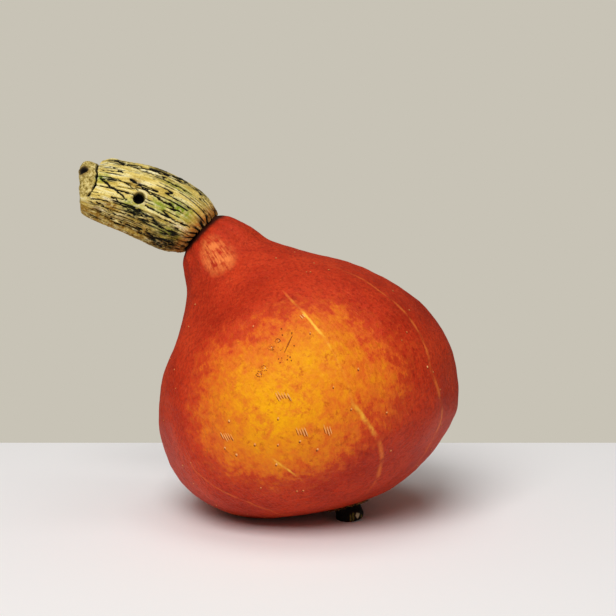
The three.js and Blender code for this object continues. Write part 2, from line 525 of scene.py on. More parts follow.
def ground_colour(add, place, turned_place, grain):
    """Deep red to orange-red in soft clouds, with streaks along the growth and fine mottling."""
    clouds = add(
        "TexNoise", {"Vector": place, "Scale": per_mm(24), "Detail": 3.0, "Roughness": 0.6}
    )
    colour = add(
        "ValToRGB", {"Fac": clouds}, stops=((0.32, "#AB280F"), (0.5, "#C03316"), (0.70, "#CF3E1B"))
    )
    layers = (  # vector, scale, detail, where the noise starts and ends to show, strength, colour
        (grain, 5.0, 4.0, 0.48, 0.75, 0.10, "#D4502A"),
        (place, per_mm(1.8), 3.0, 0.48, 0.62, 0.48, "#861A08"),
        (turned_place, per_mm(1.5), 3.0, 0.54, 0.68, 0.30, "#E4602F"),
        (turned_place, per_mm(6), 3.0, 0.50, 0.70, 0.22, "#9A200C"),
    )
    for vector, scale, detail, start, end, strength, tint in layers:
        inputs = {"Vector": vector, "Scale": scale, "Detail": detail, "Roughness": 0.7}
        shows = noise_shows(add, inputs, start, end, most=strength)
        colour = add("Mix", {FACTOR: shows, A: colour, B: tint}, **COLOURS)
    return colour


# %% The pale patch and its specks


def patched(add, colour, place, turned_place, grain):
    """The colour with the pale patch over it, and how fully the patch covers it."""
    # the field is pushed about by noise of three sizes, so that the patch's edge is ragged
    patch = add("Attribute", attribute_name="patch", output="Fac")
    for vector, scale, push in (
        (place, per_mm(13), 0.50),
        (place, per_mm(4.5), 0.95),
        (grain, 4.0, 0.36),
    ):
        inputs = {"Vector": vector, "Scale": scale, "Detail": 4.0, "Roughness": 0.65}
        pushed = add(
            "Math",
            {0: add("TexNoise", inputs), 1: push, 2: -push / 2},
            operation="MULTIPLY_ADD",
        )
        patch = add("Math", {0: patch, 1: pushed}, operation="ADD")
    pale = add(
        "ValToRGB",
        {"Fac": patch},
        stops=(
            (0.0, "#CA441A"),
            (0.10, "#D95C1A"),
            (0.26, "#E27619"),
            (0.52, "#E98E10"),
            (0.85, "#F0A404"),
        ),
    )
    cover = add("MapRange", {"Value": patch, "From Min": -0.25, "From Max": 0.08})
    colour = add("Mix", {FACTOR: cover, A: colour, B: pale}, **COLOURS)

    # salmon clouds, then rusty specks with crooked edges that crowd together in places
    for scale, crowd, start, end, strength, tint in (
        (per_mm(5), per_mm(17), 0.46, 0.66, 0.75, "#DC6420"),
        (per_mm(2.6), per_mm(9), 0.53, 0.66, 0.72, "#C2540F"),
    ):
        inputs = {"Vector": turned_place, "Scale": scale, "Detail": 3.0, "Roughness": 0.68}
        shows = noise_shows(add, inputs, start, end, most=strength)
        inputs = {"Vector": place, "Scale": crowd, "Detail": 1.0}
        crowded = noise_shows(add, inputs, 0.34, 0.58, least=0.1)
        shows = add("Math", {0: shows, 1: crowded}, operation="MULTIPLY")
        shows = add("Math", {0: shows, 1: cover}, operation="MULTIPLY")
        colour = add("Mix", {FACTOR: shows, A: colour, B: tint}, **COLOURS)
    return colour, cover


# %% The stripes


def striped(add, colour, cover, place):
    """The colour with pale lines whose edges are uneven. They are yellow inside the patch."""
    offset = add(
        "Math",
        {0: add("Attribute", attribute_name="stripe_offset", output="Fac")},
        operation="ABSOLUTE",
    )
    frayed = add(
        "TexNoise", {"Vector": place, "Scale": per_mm(2.4), "Detail": 3.0, "Roughness": 0.6}
    )
    offset = add("Math", {0: frayed, 1: 1.3, 2: offset}, operation="MULTIPLY_ADD")
    line = add("MapRange", {"Value": offset, "From Min": 1.9, "From Max": 0.9})
    strength = add("Attribute", attribute_name="stripe_strength", output="Fac")
    inputs = {"Vector": place, "Scale": per_mm(7)}
    broken = noise_shows(add, inputs, 0.35, 0.55, least=0.15)
    for share in (strength, broken):
        line = add("Math", {0: line, 1: share}, operation="MULTIPLY")
    tint = add("Mix", {FACTOR: cover, A: "#E87430", B: "#FFC444"}, **COLOURS)
    return add("Mix", {FACTOR: line, A: colour, B: tint}, **COLOURS)


# %% Waxy rind of a ripe squash


def rind_material():
    material, add, shader = new_material("waxy_rind")
    place = add("TexCoord", output="Object")
    turned_place = add("Mapping", {"Vector": place, "Rotation": (0.6, 0.9, 0.3)})
    grain = add("Attribute", attribute_name="grain", output="Vector")

    colour = ground_colour(add, place, turned_place, grain)
    colour, cover = patched(add, colour, place, turned_place, grain)
    colour = striped(add, colour, cover, place)

    # the neck's painted highlight: a salmon haze with short streaks
    streaks = add("TexNoise", {"Vector": grain, "Scale": 1.6, "Detail": 4.0, "Roughness": 0.7})
    blotches = add(
        "TexNoise", {"Vector": place, "Scale": per_mm(5), "Detail": 3.0, "Roughness": 0.6}
    )
    haze = add("Math", {0: streaks, 1: blotches}, operation="ADD")
    haze = add("MapRange", {"Value": haze, "From Min": 0.82, "From Max": 1.2})
    neck_highlight = add("Attribute", attribute_name="neck_highlight", output="Fac")
    neck_highlight = add("Math", {0: neck_highlight, 1: haze}, operation="MULTIPLY")
    neck_highlight = add("Math", {0: neck_highlight, 1: 1.5}, operation="MULTIPLY", use_clamp=True)
    colour = add("Mix", {FACTOR: neck_highlight, A: colour, B: "#F08040"}, **COLOURS)

    # the rind turns brown and rough where it meets the stem and the blossom scar
    ends = add("Attribute", attribute_name="end_scar", output="Fac")
    colour = add("Mix", {FACTOR: ends, A: colour, B: "#2E1008"}, **COLOURS)

    # the wax is slightly pitted, in sizes that are about what the real rind has
    height = add("TexNoise", {"Vector": grain, "Scale": 5.0, "Detail": 4.0, "Roughness": 0.6})
    for size in (1.8, 5):
        pits = add(
            "TexNoise", {"Vector": place, "Scale": per_mm(size), "Detail": 3.0, "Roughness": 0.65}
        )
        height = add("Math", {0: height, 1: pits}, operation="ADD")
    normal = add("Bump", {"Height": height, "Distance": 0.6 * MM, "Strength": 0.8})
    set_inputs(
        shader,
        {
            "Base Color": colour,
            "Roughness": 0.5,
            "IOR": 1.45,
            "Specular IOR Level": 0.12,
            "Normal": normal,
        },
    )
    return material


fruit.data.materials.append(rind_material())

# %% [markdown]
# ## The stem's shape
#
# The stem of this kind of squash swells and turns to cork as it ripens. Its bark splits along
# its length into many narrow black cracks. This one is a short barrel with a slanting torn end
# on the left, a round beetle hole in its side, and a rounded foot that sits on the neck.

# %% The stem's driving sizes
STEM_RADIUS = 18.4
STEM_RIDGES = 7
STEM_RIDGE_HEIGHT = 0.035
STEM_RIDGE_TURN = 5  # degrees that the first ridge is below the front
STEM_FORWARD_BEND = 6
STEM_SECTIONS = [  # x, z, lean in degrees and radius as a share of STEM_RADIUS
    (-94.0, 165.5, 2, 0),
    (-93.7, 165.5, 2, 0.4),
    (-92.3, 165.2, 4, 0.64),
    (-88.0, 164.5, 9, 0.76),
    (-82.0, 163.5, 13, 0.86),
    (-74.0, 161.3, 17, 0.92),
    (-65.0, 158.5, 20, 0.97),
    (-57.0, 155.3, 22, 1),
    (-49.5, 151.7, 25, 1),
    (-43.5, 148.3, 30, 0.96),
    (-39.0, 145.4, 36, 0.87),
    (-35.0, 142.2, 42, 0.71),
    (-30.0, 138.5, 45, 0.4),
    (-28.0, 136.5, 45, 0),
]
STEM_ROWS, STEM_COLUMNS = 310, 310


def stem_knots():
    first_x, (last_x, last_z) = STEM_SECTIONS[0][0], STEM_SECTIONS[-1][:2]
    knots = []
    for x, z, lean, size in STEM_SECTIONS:
        out = (last_x - x) / (last_x - first_x)
        y = forward_shift(last_z) - STEM_FORWARD_BEND * out
        knots.append(
            (x, y, z - FLAT_SPOT_DEPTH, size * STEM_RADIUS, lean, FORWARD_TILT * (1 - out))
        )
    return np.array(knots)


def ridged(turn, along):
    return 1 + STEM_RIDGE_HEIGHT * np.cos(STEM_RIDGES * (turn + STEM_RIDGE_TURN * DEGREE))


stem_points, stem_turn, stem_along = section_grid(
    stem_knots(), STEM_ROWS, STEM_COLUMNS, ridged
)
stem_length = stem_along.max()
stem_share = stem_along / stem_length
stem_normals = outward(stem_points)
print(f"along the stem's bark: {stem_length:.0f} mm")

# %% Cracks in the bark


def on_cylinder(width, length):
    """Noise coordinates that stretch features along the stem: width round it, length along."""
    return np.stack(
        [
            STEM_RADIUS / width * np.cos(stem_turn),
            STEM_RADIUS / width * np.sin(stem_turn),
            stem_along / length,
        ],
        -1,
    )


def crack_net(width, length, half_width, seed):
    """Thin lines that run along the stem: where a stretched noise passes through zero."""
    value = noise(on_cylinder(width, length), seed)
    slope = (np.roll(value, -1, 1) - np.roll(value, 1, 1)) / 2
    step = 2 * math.pi * STEM_RADIUS / STEM_COLUMNS
    gap = np.abs(value) / np.maximum(np.abs(slope) / step, 0.12)
    ragged = half_width * (1 + 0.9 * noise(on_cylinder(1.1, 1.5), seed + 40))
    return smooth_step(-gap, -ragged, -0.3 * ragged)


# the widest cracks, each by its width in millimetres and its corners: degrees round the stem
# from the front, and share along it
MAIN_CRACKS = (
    (1.2, ((88, 0.28), (75, 0.37), (67, 0.46), (68, 0.54))),
    (1.1, ((64, 0.49), (61, 0.60), (63, 0.69))),
    (1.6, ((84, 0.46), (86, 0.60), (88, 0.72))),
    (0.8, ((38, 0.39), (32, 0.46), (25, 0.53), (22, 0.60), (22, 0.66))),
    (0.8, ((29, 0.24), (19, 0.30), (11, 0.37), (4, 0.41))),
    (0.8, ((-15, 0.25), (-21, 0.31), (-28, 0.37))),
    (0.8, ((60, 0.28), (48, 0.34))),
    (0.7, ((5, 0.52), (3, 0.60), (3, 0.70), (5, 0.79))),
    (0.7, ((2, 0.33), (-9, 0.42), (-16, 0.48))),
    (0.6, ((33, 0.33), (27, 0.40), (23, 0.45))),
)
END_CRACK = (
    1.2,
    ((150, 0.215), (110, 0.215), (84, 0.205), (62, 0.20), (40, 0.212), (20, 0.22), (5, 0.21),
     (-10, 0.185)),
)


def crack_line(width, corners):
    """1 along a crooked line on the bark, 0 beside it."""
    wobble = 0.45 * noise(on_cylinder(2, 2.2), 71) + 0.3 * noise(on_cylinder(0.8, 1.1), 73)
    nearest = np.full(stem_turn.shape, 1e9)
    for (turn_a, share_a), (turn_b, share_b) in zip(corners, corners[1:]):
        step_round = (turn_b - turn_a) * DEGREE * STEM_RADIUS
        step_along = (share_b - share_a) * stem_length
        off_round = turned(stem_turn, turn_a) * DEGREE * STEM_RADIUS + wobble
        off_along = (stem_share - share_a) * stem_length + 0.5 * wobble
        reached = (off_round * step_round + off_along * step_along) / (
            step_round**2 + step_along**2
        )
        reached = np.clip(reached, 0, 1)
        gap = np.hypot(off_round - reached * step_round, off_along - reached * step_along)
        taper = width * (0.75 + 0.4 * noise(on_cylinder(4, 5), 75))
        nearest = np.minimum(nearest, gap / taper)
    return smooth_step(-nearest, -1, -0.4)


def near_turn(centre, reach):
    """1 on the strip of bark that faces this turn, fading to 0 at its edges."""
    return smooth_step(-np.abs(turned(stem_turn, centre)), -reach, -0.6 * reach)


FOOT_TEETH = 26  # the bark's ends, spread round the foot


def bark_cracks():
    """How cracked the bark is, from 0, whole, to 1, in the bottom of a crack."""
    open_places = smooth_step(noise(on_cylinder(4.5, 9), 6), -0.3, 0.1)
    broad = crack_net(1.9, 40, 0.46, 2) * open_places
    narrow = crack_net(1.3, 19, 0.36, 3) * smooth_step(noise(on_cylinder(3, 7), 8), -0.05, 0.3)
    crowded = np.maximum(near_turn(84, 34), near_turn(-62, 40))
    extra = crack_net(1.25, 15, 0.6, 5) * crowded
    extra *= smooth_step(noise(on_cylinder(3, 9), 12), -0.5, 0.0)
    cracks = np.maximum.reduce([broad, 0.85 * narrow, extra])
    for width, corners in MAIN_CRACKS:
        cracks = np.maximum(cracks, crack_line(width, corners))
    on_side = smooth_step(stem_share, 0.19, 0.23) * smooth_step(-stem_share, -0.86, -0.8)
    uneven = 3 * noise(on_cylinder(6, 9), 14)
    teeth = smooth_step(np.cos(FOOT_TEETH * stem_turn + uneven), 0.2, 0.75)
    teeth *= smooth_step(stem_share, 0.77, 0.84)
    return np.maximum(cracks * on_side, teeth)


cracks = bark_cracks()
end_crack = crack_line(*END_CRACK)

# %% The hole, the torn end and the relief of the bark
HOLE = (12.5, 0.472, 3.2)  # degrees round the stem, share along it, and radius in mm
TIP = (50, 0.14, 4.2)  # the little dried tip on the torn end


def around(turn, share):
    """Distance on the bark from a point of it, in millimetres."""
    local = np.linalg.norm(stem_points - stem_points.mean(1, keepdims=True), axis=-1)
    return np.hypot(
        turned(stem_turn, turn) * DEGREE * local, (stem_share - share) * stem_length
    )


from_hole = around(*HOLE[:2])
from_tip = around(*TIP[:2])
torn_end = smooth_step(-stem_share, -0.215, -0.195) * smooth_step(
    -np.abs(turned(stem_turn, 72)), -92, -80
)
torn_end = np.maximum(torn_end, smooth_step(-stem_share, -0.15, -0.12))


def stem_relief():
    plates = 0.30 * noise(on_cylinder(1.6, 14), 31) + 0.4 * noise(on_cylinder(8, 20), 33)
    fibres = 0.16 * noise(on_cylinder(0.8, 3), 35) + 0.10 * noise(stem_points / 0.7, 36)
    relief = (plates + fibres) * smooth_step(stem_share, 0.1, 0.2)
    relief -= 0.9 * cracks
    relief -= 2.4 * end_crack
    # the torn end, its swollen upper part, and the dried tip with the hollow in it
    relief -= torn_end * (1.1 + 0.5 * noise(stem_points / 2.5, 37))
    relief += 1.6 * np.exp(-((around(84, 0.14) / 4.5) ** 2))
    relief += 1.4 * smooth_step(-from_tip, -1.6 * TIP[2], -1.5)
    relief -= 3.2 * smooth_step(-from_tip, -2.6, -1.6)
    # a notch where the end crack opens on top, and the raised corner beside it
    relief -= 5.0 * np.exp(-((around(100, 0.212) / 3.0) ** 2))
    relief += 1.4 * np.exp(-((around(98, 0.238) / 4.2) ** 2))
    # the beetle hole with its rim, then the collar above the foot and the step below it
    relief += 0.35 * np.exp(-(((from_hole - HOLE[2] - 0.6) / 0.7) ** 2))
    relief -= 5.5 * smooth_step(-from_hole, -HOLE[2], -HOLE[2] + 0.7)
    relief += 0.6 * np.exp(-(((stem_share - 0.815) / 0.025) ** 2))
    relief -= 1.6 * smooth_step(stem_share, 0.84, 0.875)
    return relief


stem_points += stem_relief()[..., None] * stem_normals

# %% [markdown]
# The stem's foot has to follow the fruit's neck without cutting into it. Every point of the stem
# that would be inside the rind, or closer to it than the joint's narrow gap, is put back on the
# rind's surface. A search tree of the rind's triangles finds the nearest place quickly.

# %% Seat the foot on the neck
JOIN_GAP = 0.3
SEARCH_REACH = 30  # how far away the rind is looked for, in millimetres
fruit_tree = BVHTree.FromPolygons(
    [v.co / MM for v in fruit.data.vertices],
    [tuple(p.vertices) for p in fruit.data.polygons],
)


def seated(points, gap):
    """The same points, with those inside the rind or too near it moved out to the gap."""
    flat = points.reshape(-1, 3).copy()
    for i, point in enumerate(flat):
        place, normal, _, distance = fruit_tree.find_nearest(Vector(point), SEARCH_REACH)
        if place is None:
            continue
        height = (Vector(point) - place).dot(normal)
        if height < gap:
            flat[i] = place + normal * gap
    return flat.reshape(points.shape)


FOOT_SHARE, UNDERSIDE_SHARE = 0.7, 0.93  # where they start along the stem
foot_start = int(FOOT_SHARE * STEM_ROWS)
stem_points[foot_start:] = seated(stem_points[foot_start:], JOIN_GAP)
# the foot's underside has long narrow faces, so it keeps further away from the neck's round tip
underside_start = int(UNDERSIDE_SHARE * STEM_ROWS)
stem_points[underside_start:] = seated(stem_points[underside_start:], 3 * JOIN_GAP)

# %% Fields for the bark's colours


def stem_blob(turn, share, turn_reach, share_reach):
    """1 in the middle of an oval on the bark, fading to 0 at its edge."""
    reach = np.hypot(turned(stem_turn, turn) / turn_reach, (stem_share - share) / share_reach)
    return np.clip(1.3 * (1 - reach), 0, 1)


def strongest(*blobs):
    """The strongest of several ovals, each with its strength and then its place and reach."""
    return np.maximum.reduce([strength * stem_blob(*oval) for strength, *oval in blobs])


green = strongest(
    (1, 22, 0.69, 20, 0.14), (1, 32, 0.245, 14, 0.06), (0.9, -2, 0.45, 14, 0.10),
    (0.9, 14, 0.59, 16, 0.09), (0.9, -20, 0.7, 18, 0.14), (0.7, 60, 0.62, 14, 0.12),
)
dark = strongest(
    (1, -12, 0.46, 13, 0.08), (1, -14, 0.57, 14, 0.1), (1, -18, 0.69, 16, 0.1),
    (0.9, -46, 0.7, 26, 0.16), (0.8, 94, 0.6, 18, 0.2),
)
# painted shade: the stem's lower side, turned away from the light, is darkened with ochre
shaded_lower_side = smooth_step(-turned(stem_turn, 0), 8, 45) * smooth_step(
    turned(stem_turn, 0), -175, -120
)
ochre_and_lower_shade = np.maximum(
    shaded_lower_side,
    strongest((1, -14, 0.34, 18, 0.10), (1, -36, 0.25, 24, 0.10), (0.7, 35, 0.42, 14, 0.06)),
)
foot = smooth_step(stem_share, 0.75, 0.82)
# painted shade: the foot's underside, in shade against the neck, is near-black
shaded_foot_underside = smooth_step(stem_share, 0.838, 0.855)

stem_fields = {
    "cracks": np.maximum(cracks, end_crack),
    "green": green,
    "dark": np.clip(1.7 * dark, 0, 1),
    "ochre_and_lower_shade": ochre_and_lower_shade,
    "foot": foot,
    "foot_underside_shade": shaded_foot_underside,
    "torn_end": torn_end,
    # painted shade: near-black inside the beetle hole and in the dried tip's hollow
    "hollow_shade": np.maximum(
        smooth_step(-from_hole, -HOLE[2] - 0.1, -HOLE[2] + 0.5),
        smooth_step(-from_tip, -2.9, -2.2),
    ),
    "rim": np.exp(-(((from_hole - HOLE[2] - 0.8) / 0.8) ** 2))
    * smooth_step(noise(stem_points / 1.8, 61), -0.3, 0.3),
    "tip": smooth_step(-from_tip, -TIP[2], -2.0),
    "grain": on_cylinder(1.0, 6.0),
}
stem = grid_object("stem_bark", stem_points, stem_fields)
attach(stem, "root")
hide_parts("stem")

# %% [markdown]
# ## The bark's material
#
# The bark is cork that dried and split. Dry cork scatters light and has no shine, so to the eye
# it is chalky, its roughness is high and its reflection weak. The plates between the cracks are
# straw yellow, each a little different, with green left where the stem dried last, ochre where
# it was bruised, and black in the cracks. Painted shade darkens the bark too: ochre along the
# stem's lower side, near-black on the foot's underside and in the beetle hole and the tip's
# hollow.

# %% Straw-coloured cork, its stains, and painted shade on its lower side
STAINS_AND_SHADE = (  # field, colour, and where the noise lets the stain start and be full
    # ochre: patches of it, and painted shade along the stem's lower side
    ("ochre_and_lower_shade", "#8C6418", 0.30, 0.60),
    ("green", "#829619", 0.30, 0.56),
    ("dark", "#15180A", 0.42, 0.54),
    ("foot", "#B8742C", 0.25, 0.50),
)


def cork_colour(add, place, fibres, grain):
    plates = add("TexNoise", {"Vector": grain, "Scale": 0.62})
    colour = add(
        "ValToRGB",
        {"Fac": plates},
        stops=((0.34, "#C8AC4E"), (0.46, "#E6CC70"), (0.58, "#F0DE92"), (0.70, "#F9EEBC")),
    )
    shows = add("MapRange", {"Value": fibres, "From Min": 0.53, "From Max": 0.66, "To Max": 0.42})
    colour = add("Mix", {FACTOR: shows, A: colour, B: "#6B4E14"}, **COLOURS)
    patchy = add("TexNoise", {"Vector": place, "Scale": per_mm(2), "Detail": 3.0, "Roughness": 0.7})
    streaky = add("TexNoise", {"Vector": grain, "Scale": 0.9, "Detail": 3.0, "Roughness": 0.65})
    for field, tint, start, end in STAINS_AND_SHADE:
        spots = add(
            "MapRange",
            {
                "Value": streaky if field == "dark" else patchy,
                "From Min": start,
                "From Max": end,
                "To Min": 0.03,
            },
        )
        stain_and_shade = add("Attribute", attribute_name=field, output="Fac")
        stain_and_shade = add("Math", {0: stain_and_shade, 1: spots}, operation="MULTIPLY")
        colour = add("Mix", {FACTOR: stain_and_shade, A: colour, B: tint}, **COLOURS)
    inputs = {"Vector": place, "Scale": per_mm(0.8), "Roughness": 0.6}
    shows = noise_shows(add, inputs, 0.61, 0.69, most=0.6)
    return add("Mix", {FACTOR: shows, A: colour, B: "#3A2A0C"}, **COLOURS)


# %% Dry corky bark


def bark_material():
    material, add, shader = new_material("dry_cork_bark")
    place = add("TexCoord", output="Object")
    grain = add("Attribute", attribute_name="grain", output="Vector")
    fibres = add("TexNoise", {"Vector": grain, "Scale": 2.2, "Detail": 3.0, "Roughness": 0.7})
    colour = cork_colour(add, place, fibres, grain)
    pith = add(
        "TexNoise", {"Vector": place, "Scale": per_mm(1.6), "Detail": 4.0, "Roughness": 0.75}
    )
    torn = add(
        "ValToRGB",
        {"Fac": pith},
        stops=((0.38, "#6A5A1E"), (0.48, "#B49C52"), (0.62, "#E0CE8C")),
    )
    # each of these covers what is under it: a field, its strength, and a colour
    for field, strength, tint in (
        ("torn_end", 1.0, torn),
        ("tip", 0.8, "#8A6A38"),
        ("rim", 0.8, "#E6D9A6"),
        ("cracks", 1.4, "#0E0A03"),
        # painted shade: the foot's underside is near-black
        ("foot_underside_shade", 1.0, "#120804"),
        # painted shade: near-black inside the beetle hole and the tip's hollow
        ("hollow_shade", 1.0, "#0D0704"),
    ):
        shows = add("Attribute", attribute_name=field, output="Fac")
        shows = add("Math", {0: shows, 1: strength}, operation="MULTIPLY", use_clamp=True)
        colour = add("Mix", {FACTOR: shows, A: colour, B: tint}, **COLOURS)
    cells = add(
        "TexNoise", {"Vector": place, "Scale": per_mm(0.7), "Detail": 3.0, "Roughness": 0.6}
    )
    height = add("Math", {0: fibres, 1: cells}, operation="ADD")
    normal = add("Bump", {"Height": height, "Distance": 0.35 * MM, "Strength": 0.8})
    set_inputs(
        shader,
        {"Base Color": colour, "Roughness": 0.88, "Specular IOR Level": 0.2, "Normal": normal},
    )
    return material


stem.data.materials.append(bark_material())

# %% [markdown]
# ## The blossom scar
#
# Where the flower dropped off, a button of dark cork is left. The squash leans on it. It is a
# short stub with a lumpy skin, flat where it is pressed on the ground.

# %% The blossom scar's shape
SCAR_RADIUS = 7.2
SCAR_LEAN = 72
SCAR_FORWARD = 20
SCAR_X = 39.5
SCAR_Z = 9
SCAR_SECTIONS = [  # distance along the stub's axis, and radius as a share of SCAR_RADIUS
    (-9, 0),
    (-9, 0.7),
    (-3, 0.84),
    (2, 0.9),
    (6, 1),
    (9, 0.86),
    (10, 0.5),
    (10.4, 0),
]
SCAR_ROWS, SCAR_COLUMNS = 90, 120


def scar_knots():
    return np.array(
        [
            (
                SCAR_X + along * math.cos(SCAR_LEAN * DEGREE),
                forward_shift(SCAR_Z) - along * math.tan(SCAR_FORWARD * DEGREE),
                SCAR_Z - along * math.sin(SCAR_LEAN * DEGREE) - FLAT_SPOT_DEPTH,
                size * SCAR_RADIUS,
                SCAR_LEAN,
                FORWARD_TILT,
            )
            for along, size in SCAR_SECTIONS
        ]
    )


scar_points, _, _ = section_grid(
    scar_knots(), SCAR_ROWS, SCAR_COLUMNS, lambda turn, along: 1 + 0 * turn * along
)
scar_normals = outward(scar_points)
scar_lumps = -0.5 * np.abs(noise(scar_points / 2.4, 51)) - 0.25 * np.abs(
    noise(scar_points / 1.0, 53)
)
scar_points += scar_lumps[..., None] * scar_normals
scar_points[..., 2] = np.maximum(scar_points[..., 2], 0)
scar_points = seated(scar_points, JOIN_GAP)


STREAK_DEPTH = 6  # how far back from its middle a streak still colours the cork


def scar_streak(x, y, z, half_width, half_height, taper=0.0):
    """1 on a small pale streak that runs up and down the button, 0 beside it. taper makes it
    wider at its top than at its foot."""
    above = (scar_points[..., 2] - z + 0.4 * noise(scar_points / 0.7, 58)) / half_height
    width = half_width * (1 + taper * np.clip(above, -1, 1))
    aside = (scar_points[..., 0] - x + 0.35 * noise(scar_points / 0.8, 57)) / width
    in_front = (scar_points[..., 1] - y) / STREAK_DEPTH
    return smooth_step(-np.sqrt(aside**2 + in_front**2 + above**2), -1, -0.7)


scar_fields = {
    # a painted highlight: the pale lit facet on the button's front
    "pale_lit_highlight": scar_streak(45.2, -17, 3.0, 0.85, 1.8, 0.7),
    "lichen": np.maximum.reduce(
        [
            scar_streak(43.0, -17, 2.4, 0.45, 3.0),
            scar_streak(41.6, -17, 2.0, 0.4, 2.4),
            scar_streak(47.2, -17, 2.2, 0.4, 1.6),
        ]
    ),
}
scar = grid_object("blossom_button", scar_points, scar_fields)
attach(scar, "root")
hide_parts("blossom_scar")

# %% [markdown]
# The flower's base left a ragged ring round the button: short dry fibres that lie on the rind and
# point away from it. Each one is a thin spike with three sides, set on the rind at its foot.

# %% Dry fibres round the scar
FIBRE_COUNT = 64
FIBRE_RING = 7.6  # how far the fibres' feet are from the button's axis
SPIKE_FACES = ((0, 2, 1), (0, 1, 3), (1, 2, 3), (2, 0, 3))  # a foot of three corners, and a tip


def scar_fibres():
    fibre_random = np.random.default_rng(5)
    middle = Vector((SCAR_X + 0.5, forward_shift(SCAR_Z) - 1.0, SCAR_Z - 1.5))
    axis = Vector(
        (
            math.cos(SCAR_LEAN * DEGREE),
            -math.tan(SCAR_FORWARD * DEGREE),
            -math.sin(SCAR_LEAN * DEGREE),
        )
    ).normalized()
    first_way = axis.orthogonal().normalized()
    second_way = axis.cross(first_way)
    points, faces = [], []
    for i in range(FIBRE_COUNT):
        angle = (i + fibre_random.uniform(-0.4, 0.4)) / FIBRE_COUNT * 2 * math.pi
        outwards = math.cos(angle) * first_way + math.sin(angle) * second_way
        foot = middle + FIBRE_RING * fibre_random.uniform(0.9, 1.1) * outwards
        foot, normal, _, _ = fruit_tree.find_nearest(foot)
        length = fibre_random.uniform(2.0, 5.0)
        width = fibre_random.uniform(0.3, 0.7)
        sideways = normal.cross(outwards).normalized()
        lift = fibre_random.uniform(0.2, 1.3)
        tip = foot + length * (outwards - outwards.dot(normal) * normal).normalized()
        tip = fruit_tree.find_nearest(tip)[0] + lift * normal
        tip += fibre_random.uniform(-0.8, 0.8) * sideways
        corners = (foot - width * sideways, foot + width * sideways, foot + 1.2 * width * normal)
        if min(corner.z for corner in (*corners, tip)) < 0:
            continue
        start = len(points)
        points += [*corners, tip]
        faces += [tuple(start + k for k in face) for face in SPIKE_FACES]
    mesh = bpy.data.meshes.new("scar_fibres")
    mesh.from_pydata([point * MM for point in points], [], faces)
    piece = in_scene("scar_fibres", mesh)
    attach(piece, "root")
    print("fibres round the scar:", len(faces) // len(SPIKE_FACES))
    return piece


fibres_piece = scar_fibres()

# %% [markdown]
# The button is cork like the bark, but old and dark: almost black, dull and grainy, with three
# olive streaks on its front and a pale spot there that is a painted highlight. The fibres are dry
# plant stuff, brown to tan.

# %% Dark cork of the scar


def scar_material():
    material, add, shader = new_material("dark_scar_cork")
    place = add("TexCoord", output="Object")
    grains = add(
        "TexNoise", {"Vector": place, "Scale": per_mm(0.9), "Detail": 3.0, "Roughness": 0.65}
    )
    colour = add(
        "ValToRGB", {"Fac": grains}, stops=((0.35, "#060403"), (0.58, "#120C07"), (0.74, "#2E2212"))
    )
    for field, tint in (("lichen", "#6E6428"), ("pale_lit_highlight", "#C9BC94")):
        shows = add("Attribute", attribute_name=field, output="Fac")
        colour = add("Mix", {FACTOR: shows, A: colour, B: tint}, **COLOURS)
    normal = add("Bump", {"Height": grains, "Distance": 0.4 * MM, "Strength": 0.9})
    set_inputs(
        shader,
        {"Base Color": colour, "Roughness": 0.8, "Specular IOR Level": 0.2, "Normal": normal},
    )
    return material


scar.data.materials.append(scar_material())

# %% Dry plant stuff, for the fibres and later for the marks


def dry_material(name, size, roughness, stops):
    """Dry matt plant stuff whose colour changes over this many millimetres."""
    material, add, shader = new_material(name)
    place = add("TexCoord", output="Object")
    change = add("TexNoise", {"Vector": place, "Scale": per_mm(size)})
    colour = add("ValToRGB", {"Fac": change}, stops=stops)
    set_inputs(
        shader, {"Base Color": colour, "Roughness": roughness, "Specular IOR Level": 0.2}
    )
    return material


FIBRE_COLOURS = ((0.38, "#2A140A"), (0.5, "#7A5020"), (0.62, "#B89A58"))
fibres_piece.data.materials.append(dry_material("dry_flower_fibre", 1.6, 0.85, FIBRE_COLOURS))

# %% [markdown]
# ## Floor and light
#
# The squash stands on a plain pale table that ends a little way behind it, in front of an even
# warm grey. One large soft light comes from the front, high up and to the left, and a weaker one
# from straight above, so the belly is evenly lit and its edges fall off into shade.

# %% The table
FLOOR_COLOUR = "#F6F4F4"
FLOOR_BACK_EDGE = 0.158
FLOOR_REACH = 1.5  # metres to the left, to the right and to the front
FLOOR_THICKNESS = 0.012


def add_floor():
    left, right, front, back = -FLOOR_REACH, FLOOR_REACH, -FLOOR_REACH, FLOOR_BACK_EDGE
    outline = ((left, front), (right, front), (right, back), (left, back))
    corners = [(x, y, z) for z in (0, -FLOOR_THICKNESS) for x, y in outline]
    faces = [(0, 1, 2, 3), (7, 6, 5, 4), (0, 4, 5, 1), (1, 5, 6, 2), (2, 6, 7, 3), (3, 7, 4, 0)]
    mesh = bpy.data.meshes.new("floor")
    mesh.from_pydata(corners, [], faces)
    floor = in_scene("floor", mesh)
    material, _, shader = new_material("pale_table_paint")
    set_inputs(shader, {"Base Color": FLOOR_COLOUR, "Roughness": 0.9})
    mesh.materials.append(material)


add_floor()

# %% The lights and the colour of the surroundings
BACKDROP_COLOUR = "#C8C3B6"
AMBIENT_STRENGTH = 0.24


def add_soft_light(name, place, aim, size, power):
    data = bpy.data.lights.new(name, "AREA")
    data.shape = "SQUARE"
    data.size = size
    data.energy = power
    light = in_scene(name, data)
    light.location = place
    light.rotation_euler = (Vector(aim) - Vector(place)).to_track_quat("-Z", "Y").to_euler()


